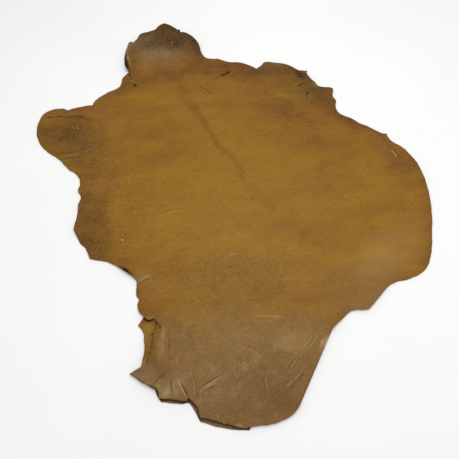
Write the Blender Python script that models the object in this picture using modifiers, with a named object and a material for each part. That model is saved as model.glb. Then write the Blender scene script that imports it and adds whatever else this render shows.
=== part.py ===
"""A whole leather hide, laid out grain side up with its left hind shank folded under it.

It is one cut sheet, with nothing sewn or fitted to it. Metres, +Z up: the hide lies on z = 0 with its
neck towards +Y, and the origin is under the middle of its box. The sheet is drawn as a flat pattern,
meshed there, and then laid: the shank is bent under along one straight fold, the neck arches up, and
the edges lift where the hide has dried unevenly.
"""

import math
from collections import namedtuple

import bpy
import numpy as np
from mathutils import Vector, geometry

MM = 0.001
THICKNESS = 1.8 * MM

# The fold: the sheet turns under along the line from FOLD_TOP to FOLD_FOOT, around FOLD_RADIUS.
FOLD_RADIUS = 4.2 * MM
FOLD_SWELL_REACH = 45 * MM
BEND_ROWS = 6
LAYER_PITCH = 3.4 * MM  # middle of one layer to middle of the other, away from the fold
COVER_MARGIN = 28 * MM  # the upper layer stays level this far past the shank's edge
COVER_RAMP = 45 * MM  # and then comes down to the surface over this length

# The mesh: cut edges and the fold are divided finely, the open sheet coarsely.
EDGE_STEP = 11 * MM
SHEET_STEP = 20 * MM
CLEAR_OF_EDGE = 0.5 * SHEET_STEP
MERGE = 0.001 * MM

LEATHER_COLOUR = (0.27, 0.15, 0.035, 1.0)
LEATHER_ROUGHNESS = 0.5

# A turn of the cut edge, in millimetres. The knife went round it, or it is a corner.
Turn = namedtuple("Turn", "x y corner", defaults=(False,))
CORNER = True
FOLD_TOP = Turn(249, -450)
FOLD_FOOT = Turn(164, -609)

# The cut edge, clockwise from the foot of the fold to its top, a table for each part of the animal.
LEFT_HIND = (
    FOLD_FOOT,
    Turn(168, -612, CORNER),
    Turn(160, -624),
    Turn(145, -637),
    Turn(124, -647),
    Turn(104, -653),
    Turn(68, -657),
    Turn(44, -660),
    Turn(-4, -649),
    Turn(-45, -640, CORNER),
    Turn(-52, -620),
    Turn(-71, -600, CORNER),
    Turn(-74, -608, CORNER),
    Turn(-134, -602, CORNER),
    Turn(-137, -587, CORNER),
    Turn(-150, -582),
    Turn(-203, -552, CORNER),
)
LEFT_SHANK_SIDE = (
    Turn(-179, -537, CORNER),
    Turn(-175, -508),
    Turn(-178, -475),
    Turn(-183, -457),
    Turn(-197, -443, CORNER),
)
# The flank is torn: the cut runs in along the lower lip and back along the upper one.
TEAR_LOWER = (
    Turn(-186, -424, CORNER),
    Turn(-176, -431),
    Turn(-166, -431),
    Turn(-159, -428),
    Turn(-151, -437),
    Turn(-142, -446, CORNER),
)
TEAR_UPPER = (
    Turn(-150, -435),
    Turn(-159, -426),
    Turn(-166, -429),
    Turn(-175, -429),
    Turn(-184, -421, CORNER),
)
LEFT_FLANK = (
    Turn(-197, -409),
    Turn(-203, -390),
    Turn(-200, -379),
    Turn(-208, -368),
    Turn(-211, -332),
    Turn(-222, -320),
    Turn(-253, -298),
    Turn(-288, -279),
)
LEFT_BELLY = (
    Turn(-334, -270, CORNER),
    Turn(-350, -241),
    Turn(-365, -227),
    Turn(-390, -187, CORNER),
    Turn(-388, -142),
    Turn(-391, -106),
    Turn(-388, -83),
    Turn(-400, -61),
    Turn(-398, -41),
    Turn(-407, -14),
    Turn(-424, 3),
    Turn(-437, 10),
)
LEFT_FORELEG = (
    Turn(-474, 49),
    Turn(-512, 76),
    Turn(-545, 112),
    Turn(-563, 165),
    Turn(-555, 225),
    Turn(-530, 246),
    Turn(-500, 250),
    Turn(-483, 242),
    Turn(-470, 249),
    Turn(-425, 263),
    Turn(-411, 264, CORNER),
)
LEFT_SHOULDER = (
    Turn(-405, 285),
    Turn(-376, 316),
    Turn(-338, 346),
    Turn(-329, 385),
    Turn(-312, 406, CORNER),
)
NECK = (
    Turn(-328, 438),
    Turn(-335, 500),
    Turn(-329, 557, CORNER),
    Turn(-311, 540, CORNER),
    Turn(-302, 562),
    Turn(-293, 598),
    Turn(-262, 611),
    Turn(-244, 620, CORNER),
    Turn(-232, 642),
    Turn(-216, 655),
    Turn(-200, 650),
    Turn(-179, 634),
    Turn(-165, 618, CORNER),
    Turn(-157, 621, CORNER),
    Turn(-155, 602, CORNER),
    Turn(-134, 603),
    Turn(-104, 575),
    Turn(-90, 547),
    Turn(-78, 505),
    Turn(-62, 483),
)
RIGHT_SHOULDER = (
    Turn(-40, 479),
    Turn(-21, 480),
    Turn(3, 467),
    Turn(28, 459),
    Turn(50, 460),
    Turn(83, 447),
    Turn(105, 431, CORNER),
    Turn(120, 443),
)
RIGHT_FORELEG = (
    Turn(136, 461),
    Turn(172, 456),
    Turn(200, 450),
    Turn(222, 437),
    Turn(246, 420),
    Turn(272, 415, CORNER),
    Turn(269, 396),
    Turn(279, 370),
    Turn(290, 362),
    Turn(301, 345),
    Turn(342, 339),
    Turn(348, 333, CORNER),
    Turn(344, 300),
    Turn(352, 284),
    Turn(347, 255),
)
RIGHT_BELLY = (
    Turn(357, 229),
    Turn(371, 220),
    Turn(394, 206),
    Turn(413, 188),
    Turn(431, 177),
    Turn(456, 157),
    Turn(470, 149),
    Turn(486, 147, CORNER),
    Turn(490, 126),
    Turn(503, 111),
    Turn(521, 97),
)
RIGHT_HIND = (
    Turn(534, 78),
    Turn(555, 30),
    Turn(563, -35),
    Turn(560, -110),
    Turn(545, -190),
    Turn(527, -258),
    Turn(500, -302),
    Turn(449, -327),
    Turn(428, -331),
    Turn(402, -345),
    Turn(381, -367),
    Turn(345, -403, CORNER),
)
TAIL = (
    Turn(310, -405),
    Turn(298, -411),
    Turn(287, -420),
    Turn(270, -435),
    Turn(254, -451, CORNER),
    FOLD_TOP,
)
CUT_EDGE = (
    LEFT_HIND,
    LEFT_SHANK_SIDE,
    TEAR_LOWER,
    TEAR_UPPER,
    LEFT_FLANK,
    LEFT_BELLY,
    LEFT_FORELEG,
    LEFT_SHOULDER,
    NECK,
    RIGHT_SHOULDER,
    RIGHT_FORELEG,
    RIGHT_BELLY,
    RIGHT_HIND,
    TAIL,
)
# The shank's own edge, from the top of the fold to its foot, where it lies under the hide.
SHANK_UNDER = (
    FOLD_TOP,
    Turn(159, -424),
    Turn(65, -412),
    Turn(-76, -416),
    Turn(-122, -440),
    Turn(-133, -486),
    Turn(-141, -535),
    Turn(-143, -587),
    Turn(-137, -600),
    Turn(-130, -609, CORNER),
    Turn(-84, -613, CORNER),
    Turn(-68, -612),
    Turn(-45, -647, CORNER),
    Turn(-9, -657),
    Turn(28, -663),
    Turn(58, -664, CORNER),
    Turn(66, -651, CORNER),
    Turn(106, -645),
    Turn(134, -632),
    FOLD_FOOT,
)

# Where the sheet stands off the surface: middle, heading of its long axis, half sizes and height.
Rise = namedtuple("Rise", "x y heading length width height")
RISES = (
    Rise(262, 372, 60, 55, 30, 9),  # puckers of the right foreleg
    Rise(200, 440, -15, 60, 22, 5),
    Rise(475, 100, -64, 75, 18, 7),  # ridge inside the right belly's edge
    Rise(540, -60, 85, 90, 40, 5),
    Rise(-430, 214, 4, 95, 18, 6),  # ridge across the left foreleg
    Rise(-400, -150, 90, 110, 25, 4),
    Rise(-236, -302, -32, 42, 26, 8),  # left belly's lifted edge
    Rise(12, 430, 40, 36, 22, 6),  # pinch in the right shoulder
    Rise(330, -385, 10, 45, 25, 5),
    Rise(-154, -490, 82, 52, 12, 5),  # pleat down the side of the left hind
    Rise(-75, 235, -56, 150, 30, 3),  # the backbone
    Rise(435, -245, 50, 85, 40, 4),
    Rise(-62, -580, 65, 32, 13, 5),  # ruffles where the left hind's edge is notched
    Rise(-118, -560, 40, 30, 14, 4),
    Rise(-6, -566, 25, 60, 12, 3),
)

# The neck arches between a valley across its root and its free end.
NECK_VALLEY_LEFT = Turn(-300, 388)
NECK_VALLEY_RIGHT = Turn(-85, 448)
NECK_RISE = 95 * MM  # the arch rises over this length from the valley
NECK_FALL = 40 * MM  # and starts to come down from here
NECK_END = 235 * MM
NECK_HEIGHT = 35 * MM
NECK_TIP_SHARE = 0.18  # height left at the free end, as a share of the arch's
NECK_SIDE_REACH = 45 * MM
NECK_LEFT_EDGE = -336 * MM
NECK_LIP_WIDTH = 20 * MM  # the left margin turns down towards the surface
NECK_LIP_DROP = 0.72  # share of the arch's height lost at that edge

# The torn flank: the upper lip stands up and the lower one slips under it.
TEAR_MOUTH = Turn(-185, -422)
TEAR_END = TEAR_LOWER[-1]
TEAR_REACH = 34 * MM
LIP_LIFT = 7 * MM
LIP_OVERLAP = 8 * MM
OVERLAP_SHARE = 0.75  # the lips overlap along this share of the tear, from its mouth


def clear_scene():
    for thing in list(bpy.data.objects):
        bpy.data.objects.remove(thing, do_unlink=True)


def place(turn):
    return Vector((turn.x, turn.y)) * MM


def line_frame(start, end):
    """Start, direction, left-hand normal and length of the line between two turns."""
    run = place(end) - place(start)
    along = run.normalized()
    return np.array(place(start)), np.array(along), np.array((-along.y, along.x)), run.length


def rounded(turns, step):
    """The line through the turns as points about one step apart, sharp only at corners."""
    places = [place(turn) for turn in turns]
    headings = []
    for i, turn in enumerate(turns):
        ends = places[max(i - 1, 0)], places[min(i + 1, len(places) - 1)]
        headings.append(None if turn.corner else (ends[1] - ends[0]).normalized())
    line = []
    for i, (start, end) in enumerate(zip(places, places[1:])):
        span = end - start
        reach = span.length / 3
        after = start + (headings[i] * reach if headings[i] else span / 3)
        before = end - (headings[i + 1] * reach if headings[i + 1] else span / 3)
        count = max(2, round(span.length / step) + 1)
        line += geometry.interpolate_bezier(start, after, before, end, count)[:-1]
    return [point.to_2d() for point in line] + [places[-1]]


def unfolded(points):
    """Where points of the tucked shank are in the flat pattern: mirrored across the bend."""
    start, _, out, _ = line_frame(FOLD_TOP, FOLD_FOOT)
    mirrored = []
    for point in points:
        depth = -Vector(point - Vector(start)).dot(Vector(out))
        mirrored.append(point + Vector(out) * (2 * depth + math.pi * FOLD_RADIUS))
    return mirrored


def bend_rows():
    """Rows of points along the bend in the flat pattern, from one side of it to the other."""
    _, _, out, length = line_frame(FOLD_TOP, FOLD_FOOT)
    top, foot = place(FOLD_TOP), place(FOLD_FOOT)
    count = round(length / EDGE_STEP)
    rows = []
    for k in range(BEND_ROWS + 1):
        turned = math.pi * k / BEND_ROWS
        shift = Vector(out) * FOLD_RADIUS * turned
        rows.append([top.lerp(foot, i / count) + shift for i in range(count + 1)])
    return rows


def flat_outline(shank, rows):
    """The whole cut edge of the flat pattern, the shank folded out."""
    hide = rounded([turn for part in CUT_EDGE for turn in part], EDGE_STEP)
    down = [row[0] for row in rows[1:-1]]
    back = [row[-1] for row in reversed(rows[1:-1])]
    return hide + down + unfolded(shank) + back


def away_from(points, line):
    """Each point's distance to the nearest stretch of a closed line."""
    start = np.array(line)
    run = np.roll(start, -1, axis=0) - start
    nearest = np.full(len(points), np.inf)
    for origin, step in zip(start, run):
        gap = points - origin
        share = np.clip(gap @ step / max(step @ step, MERGE**2), 0, 1)
        nearest = np.minimum(nearest, np.hypot(*(gap - share[:, None] * step).T))
    return nearest


def inside(points, line):
    """Whether each point lies within a closed line."""
    odd = np.zeros(len(points), bool)
    for (x0, y0), (x1, y1) in zip(line, line[1:] + line[:1]):
        if y0 == y1:
            continue
        level = (y0 > points[:, 1]) != (y1 > points[:, 1])
        odd ^= level & (points[:, 0] < x0 + (x1 - x0) * (points[:, 1] - y0) / (y1 - y0))
    return odd


def lattice(outline):
    """Points at even triangular spacing over the pattern's box."""
    low = np.min(np.array(outline), axis=0)
    high = np.max(np.array(outline), axis=0)
    climb = SHEET_STEP * math.sqrt(3) / 2
    points = []
    for row in range(int((high[1] - low[1]) / climb) + 1):
        for x in np.arange(low[0] + SHEET_STEP / 2 * (row % 2), high[0], SHEET_STEP):
            points.append((x, low[1] + row * climb))
    return np.array(points)


def flat_mesh(outline, rows):
    """The flat pattern divided into triangles, as points and faces."""
    points = lattice(outline)
    bend = rows[0] + rows[-1][::-1]
    clear = (away_from(points, outline) > CLEAR_OF_EDGE) & (away_from(points, bend) > CLEAR_OF_EDGE)
    points = points[clear & inside(points, outline) & ~inside(points, bend)]
    inner = [point for row in rows for point in row[1:-1]] + [Vector(point) for point in points]
    border = [list(range(len(outline)))]
    verts, _, faces, *_ = geometry.delaunay_2d_cdt(outline + inner, [], border, 1, MERGE)
    return np.array(verts), faces


def fall(distance, start, length):
    """1 up to start, 0 past start + length, and a soft step between."""
    t = np.clip((distance - start) / length, 0, 1)
    return 1 - t * t * (3 - 2 * t)


def mound(points, rise):
    heading = math.radians(rise.heading)
    gap = points / MM - (rise.x, rise.y)
    along = gap @ (math.cos(heading), math.sin(heading)) / rise.length
    across = gap @ (-math.sin(heading), math.cos(heading)) / rise.width
    return rise.height * MM * np.exp(-(along**2) - across**2)


def neck_arch(points):
    """The neck's height above the surface, nothing on the hide's side of its valley."""
    start, side, up, width = line_frame(NECK_VALLEY_LEFT, NECK_VALLEY_RIGHT)
    climb = (points - start) @ up
    near = 1 - fall(climb, 0, NECK_RISE)
    far = NECK_TIP_SHARE + (1 - NECK_TIP_SHARE) * fall(climb, NECK_FALL, NECK_END - NECK_FALL)
    within = fall((points - start) @ side, width - NECK_SIDE_REACH, 2 * NECK_SIDE_REACH)
    lip = NECK_LIP_DROP * fall(points[:, 0] - NECK_LEFT_EDGE, 0, NECK_LIP_WIDTH)
    return NECK_HEIGHT * near * far * within * (1 - lip)


def stand_off(points, shank):
    """How far the upper layer is above where it would lie flat on the surface."""
    height = sum(mound(points, rise) for rise in RISES) + neck_arch(points)
    apart = np.where(inside(points, shank), 0, away_from(points, shank))
    height += LAYER_PITCH * fall(apart, COVER_MARGIN, COVER_RAMP)
    near_fold = fall(away_from(points, [place(FOLD_TOP), place(FOLD_FOOT)]), 0, FOLD_SWELL_REACH)
    return height * (1 - near_fold) + 2 * FOLD_RADIUS * near_fold


def above_tear():
    """The region on the upper lip's side of the tear, bounded by the tear's middle line."""
    lips = zip(TEAR_LOWER, reversed(TEAR_UPPER))
    middle = [(place(lower) + place(upper)) / 2 for lower, upper in lips]
    _, along, up, length = line_frame(TEAR_MOUTH, TEAR_END)
    left = middle[0] - Vector(along) * length
    right = place(TEAR_END) + Vector(along) * length
    over = Vector(up) * 2 * length
    return [left, *middle, place(TEAR_END), right, right + over, left + over]


def part_lips(points):
    """The torn flank's two sides: the lower slipped up the sheet, and the upper one's lift."""
    start, along, up, length = line_frame(TEAR_MOUTH, TEAR_END)
    share = (points - start) @ along / length
    near = fall(away_from(points, [place(TEAR_MOUTH), place(TEAR_END)]), 0, TEAR_REACH)
    upper = inside(points, above_tear())
    lift = LIP_LIFT * (1 - np.clip(share, 0, 1) ** 2) * near * upper
    slip = LIP_OVERLAP * fall(share, 0, OVERLAP_SHARE) * near * ~upper
    return points + slip[:, None] * up, lift


def past_fold(points):
    """How far each point of the pattern lies past the fold line, and whether it is bent under."""
    start, along, out, length = line_frame(FOLD_TOP, FOLD_FOOT)
    past = (points - start) @ out
    down = (points - start) @ along
    beside = (down > length + MERGE) & (past < math.pi / 2 * FOLD_RADIUS)
    return past, (past > 0) & (down > -MERGE) & ~beside


def laid(points, shank):
    """Where the flat pattern's points lie in space, with the shank bent under the hide."""
    out = line_frame(FOLD_TOP, FOLD_FOOT)[2]
    past, tucked = past_fold(points)
    turned = np.clip(past / FOLD_RADIUS, 0, math.pi)
    reach = FOLD_RADIUS * np.sin(turned) - np.maximum(past - math.pi * FOLD_RADIUS, 0)
    under = points + (reach - past)[:, None] * out
    upper, lift = part_lips(points)
    flat = np.where(tucked[:, None], under, upper)
    height = np.where(tucked, FOLD_RADIUS * (1 + np.cos(turned)), stand_off(points, shank) + lift)
    return np.column_stack((flat, height + THICKNESS / 2))


def leather():
    material = bpy.data.materials.new("leather")
    material.use_nodes = True
    shader = material.node_tree.nodes["Principled BSDF"]
    shader.inputs["Base Color"].default_value = LEATHER_COLOUR
    shader.inputs["Roughness"].default_value = LEATHER_ROUGHNESS
    shader.inputs["Metallic"].default_value = 0.0
    return material


def build_hide():
    """The middle surface of the laid sheet, with Solidify for its thickness."""
    shank = rounded(SHANK_UNDER, EDGE_STEP)
    rows = bend_rows()
    points, faces = flat_mesh(flat_outline(shank, rows), rows)
    mesh = bpy.data.meshes.new("hide")
    mesh.from_pydata(laid(points, shank).tolist(), [], faces)
    mesh.materials.append(leather())
    mesh.shade_smooth()
    hide = bpy.data.objects.new("hide", mesh)
    sheet = hide.modifiers.new("thickness", "SOLIDIFY")
    sheet.thickness = THICKNESS
    sheet.offset = 0.0
    return hide


def main():
    clear_scene()
    group = bpy.data.collections.new("leather_hide")
    bpy.context.scene.collection.children.link(group)
    group.objects.link(build_hide())


main()
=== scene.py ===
"""The leather hide as it is seen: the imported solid's own sheet again, divided finely, with the creases,
curled edges and small hole that the solid leaves out, and with its dyed grain, flesh side and cut edge.

Shared frame, metres, +Z up: the neck is towards +Y and the hide lies on z = 0. The sheet is drawn as a
flat pattern from the solid's own sizes, but for its tear, meshed there, and laid with the left hind shank
bent under.
"""

import math
from collections import namedtuple

import bpy
import numpy as np
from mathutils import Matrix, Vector, geometry, kdtree, noise


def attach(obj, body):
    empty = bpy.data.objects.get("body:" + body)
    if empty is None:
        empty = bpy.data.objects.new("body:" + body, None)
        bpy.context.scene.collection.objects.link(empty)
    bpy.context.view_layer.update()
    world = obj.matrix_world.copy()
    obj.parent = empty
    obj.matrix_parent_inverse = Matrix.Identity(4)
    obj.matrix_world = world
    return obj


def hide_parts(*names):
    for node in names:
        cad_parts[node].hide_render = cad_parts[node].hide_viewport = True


MM = 0.001
THICKNESS = 1.8 * MM

# The fold: the sheet turns under along the line from FOLD_TOP to FOLD_FOOT, around FOLD_RADIUS.
FOLD_RADIUS = 4.2 * MM
FOLD_SWELL_REACH = 45 * MM
BEND_ROWS = 6
LAYER_PITCH = 3.4 * MM  # middle of one layer to middle of the other, away from the fold
COVER_MARGIN = 28 * MM  # the upper layer stays level this far past the shank's edge
COVER_RAMP = 45 * MM  # and then comes down to the surface over this length

# The mesh: cut edges and the fold are divided finely.
EDGE_STEP = 2.6 * MM
MERGE = 0.001 * MM  # nearer points are one

# A turn of the cut edge, in millimetres. The knife went round it, or it is a corner.
Turn = namedtuple("Turn", "x y corner", defaults=(False,))
CORNER = True
FOLD_TOP = Turn(249, -450)
FOLD_FOOT = Turn(164, -609)

# The cut edge, clockwise from the foot of the fold to its top, a table for each part of the animal.
LEFT_HIND = (
    FOLD_FOOT,
    Turn(168, -612, CORNER),
    Turn(160, -624),
    Turn(145, -637),
    Turn(124, -647),
    Turn(104, -653),
    Turn(68, -657),
    Turn(44, -660),
    Turn(-4, -649),
    Turn(-45, -640, CORNER),
    Turn(-52, -620),
    Turn(-71, -600, CORNER),
    Turn(-74, -608, CORNER),
    Turn(-134, -602, CORNER),
    Turn(-137, -587, CORNER),
    Turn(-150, -582),
    Turn(-203, -552, CORNER),
)
LEFT_SHANK_SIDE = (
    Turn(-179, -537, CORNER),
    Turn(-175, -508),
    Turn(-178, -475),
    Turn(-183, -457),
    Turn(-197, -443, CORNER),
)
# The flank is torn: the cut runs in along the lower lip and back along the upper one. Its inner end is
# narrower than the solid's.
TEAR_LOWER = (
    Turn(-186, -424, CORNER),
    Turn(-176, -431),
    Turn(-166, -431),
    Turn(-159, -428),
    Turn(-150.6, -436.3),
    Turn(-142, -446, CORNER),
)
TEAR_UPPER = (
    Turn(-150.1, -435.6),
    Turn(-159, -426),
    Turn(-166, -429),
    Turn(-175, -429),
    Turn(-184, -421, CORNER),
)
LEFT_FLANK = (
    Turn(-197, -409),
    Turn(-203, -390),
    Turn(-200, -379),
    Turn(-208, -368),
    Turn(-211, -332),
    Turn(-222, -320),
    Turn(-253, -298),
    Turn(-288, -279),
)
LEFT_BELLY = (
    Turn(-334, -270, CORNER),
    Turn(-350, -241),
    Turn(-365, -227),
    Turn(-390, -187, CORNER),
    Turn(-388, -142),
    Turn(-391, -106),
    Turn(-388, -83),
    Turn(-400, -61),
    Turn(-398, -41),
    Turn(-407, -14),
    Turn(-424, 3),
    Turn(-437, 10),
)
LEFT_FORELEG = (
    Turn(-474, 49),
    Turn(-512, 76),
    Turn(-545, 112),
    Turn(-563, 165),
    Turn(-555, 225),
    Turn(-530, 246),
    Turn(-500, 250),
    Turn(-483, 242),
    Turn(-470, 249),
    Turn(-425, 263),
    Turn(-411, 264, CORNER),
)
LEFT_SHOULDER = (
    Turn(-405, 285),
    Turn(-376, 316),
    Turn(-338, 346),
    Turn(-329, 385),
    Turn(-312, 406, CORNER),
)
NECK = (
    Turn(-328, 438),
    Turn(-335, 500),
    Turn(-329, 557, CORNER),
    Turn(-311, 540, CORNER),
    Turn(-302, 562),
    Turn(-293, 598),
    Turn(-262, 611),
    Turn(-244, 620, CORNER),
    Turn(-232, 642),
    Turn(-216, 655),
    Turn(-200, 650),
    Turn(-179, 634),
    Turn(-165, 618, CORNER),
    Turn(-157, 621, CORNER),
    Turn(-155, 602, CORNER),
    Turn(-134, 603),
    Turn(-104, 575),
    Turn(-90, 547),
    Turn(-78, 505),
    Turn(-62, 483),
)
RIGHT_SHOULDER = (
    Turn(-40, 479),
    Turn(-21, 480),
    Turn(3, 467),
    Turn(28, 459),
    Turn(50, 460),
    Turn(83, 447),
    Turn(105, 431, CORNER),
    Turn(120, 443),
)
RIGHT_FORELEG = (
    Turn(136, 461),
    Turn(172, 456),
    Turn(200, 450),
    Turn(222, 437),
    Turn(246, 420),
    Turn(272, 415, CORNER),
    Turn(269, 396),
    Turn(279, 370),
    Turn(290, 362),
    Turn(301, 345),
    Turn(342, 339),
    Turn(348, 333, CORNER),
    Turn(344, 300),
    Turn(352, 284),
    Turn(347, 255),
)
RIGHT_BELLY = (
    Turn(357, 229),
    Turn(371, 220),
    Turn(394, 206),
    Turn(413, 188),
    Turn(431, 177),
    Turn(456, 157),
    Turn(470, 149),
    Turn(486, 147, CORNER),
    Turn(490, 126),
    Turn(503, 111),
    Turn(521, 97),
)
RIGHT_HIND = (
    Turn(534, 78),
    Turn(555, 30),
    Turn(563, -35),
    Turn(560, -110),
    Turn(545, -190),
    Turn(527, -258),
    Turn(500, -302),
    Turn(449, -327),
    Turn(428, -331),
    Turn(402, -345),
    Turn(381, -367),
    Turn(345, -403, CORNER),
)
TAIL = (
    Turn(310, -405),
    Turn(298, -411),
    Turn(287, -420),
    Turn(270, -435),
    Turn(254, -451, CORNER),
    FOLD_TOP,
)
LEFT_SIDE = LEFT_SHANK_SIDE + TEAR_LOWER + TEAR_UPPER + LEFT_FLANK + LEFT_BELLY + LEFT_FORELEG
RIGHT_SIDE = RIGHT_SHOULDER + RIGHT_FORELEG + RIGHT_BELLY + RIGHT_HIND
CUT_EDGE = LEFT_HIND + LEFT_SIDE + LEFT_SHOULDER + NECK + RIGHT_SIDE + TAIL
# The shank's own edge, from the top of the fold to its foot, where it lies under the hide.
SHANK_UNDER = (
    FOLD_TOP,
    Turn(159, -424),
    Turn(65, -412),
    Turn(-76, -416),
    Turn(-122, -440),
    Turn(-133, -486),
    Turn(-141, -535),
    Turn(-143, -587),
    Turn(-137, -600),
    Turn(-130, -609, CORNER),
    Turn(-84, -613, CORNER),
    Turn(-68, -612),
    Turn(-45, -647, CORNER),
    Turn(-9, -657),
    Turn(28, -663),
    Turn(58, -664, CORNER),
    Turn(66, -651, CORNER),
    Turn(106, -645),
    Turn(134, -632),
    FOLD_FOOT,
)

# Where the sheet stands off the surface: middle, heading of its long axis, half sizes and height.
Rise = namedtuple("Rise", "x y heading length width height")
RISES = (
    Rise(262, 372, 60, 55, 30, 9),  # puckers of the right foreleg
    Rise(200, 440, -15, 60, 22, 5),
    Rise(475, 100, -64, 75, 18, 7),  # ridge inside the right belly's edge
    Rise(540, -60, 85, 90, 40, 5),
    Rise(-430, 214, 4, 95, 18, 6),  # ridge across the left foreleg
    Rise(-400, -150, 90, 110, 25, 4),
    Rise(-236, -302, -32, 42, 26, 8),  # left belly's lifted edge
    Rise(12, 430, 40, 36, 22, 6),  # pinch in the right shoulder
    Rise(330, -385, 10, 45, 25, 5),
    Rise(-154, -490, 82, 52, 12, 5),  # pleat down the side of the left hind
    Rise(-75, 235, -56, 150, 30, 3),  # the backbone
    Rise(435, -245, 50, 85, 40, 4),
    Rise(-62, -580, 65, 32, 13, 5),  # ruffles where the left hind's edge is notched
    Rise(-118, -560, 40, 30, 14, 4),
    Rise(-6, -566, 25, 60, 12, 3),
)

# The neck arches between a valley across its root and its free end.
NECK_VALLEY_LEFT = Turn(-300, 388)
NECK_VALLEY_RIGHT = Turn(-85, 448)
NECK_RISE = 95 * MM  # the arch rises over this length from the valley
NECK_FALL = 40 * MM  # and starts to come down from here
NECK_END = 235 * MM
NECK_HEIGHT = 35 * MM
NECK_TIP_SHARE = 0.18  # height left at the free end, as a share of the arch's
NECK_SIDE_REACH = 45 * MM
NECK_LEFT_EDGE = -336 * MM
NECK_LIP_WIDTH = 20 * MM  # the left margin turns down towards the surface
NECK_LIP_DROP = 0.72  # share of the arch's height lost at that edge

# The torn flank: the upper lip stands up and the lower one slips under it.
TEAR_MOUTH = Turn(-185, -422)
TEAR_END = TEAR_LOWER[-1]
TEAR_REACH = 34 * MM
LIP_LIFT = 7 * MM
LIP_OVERLAP = 8 * MM
OVERLAP_SHARE = 0.75  # the lips overlap along this share of the tear, from its mouth

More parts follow.
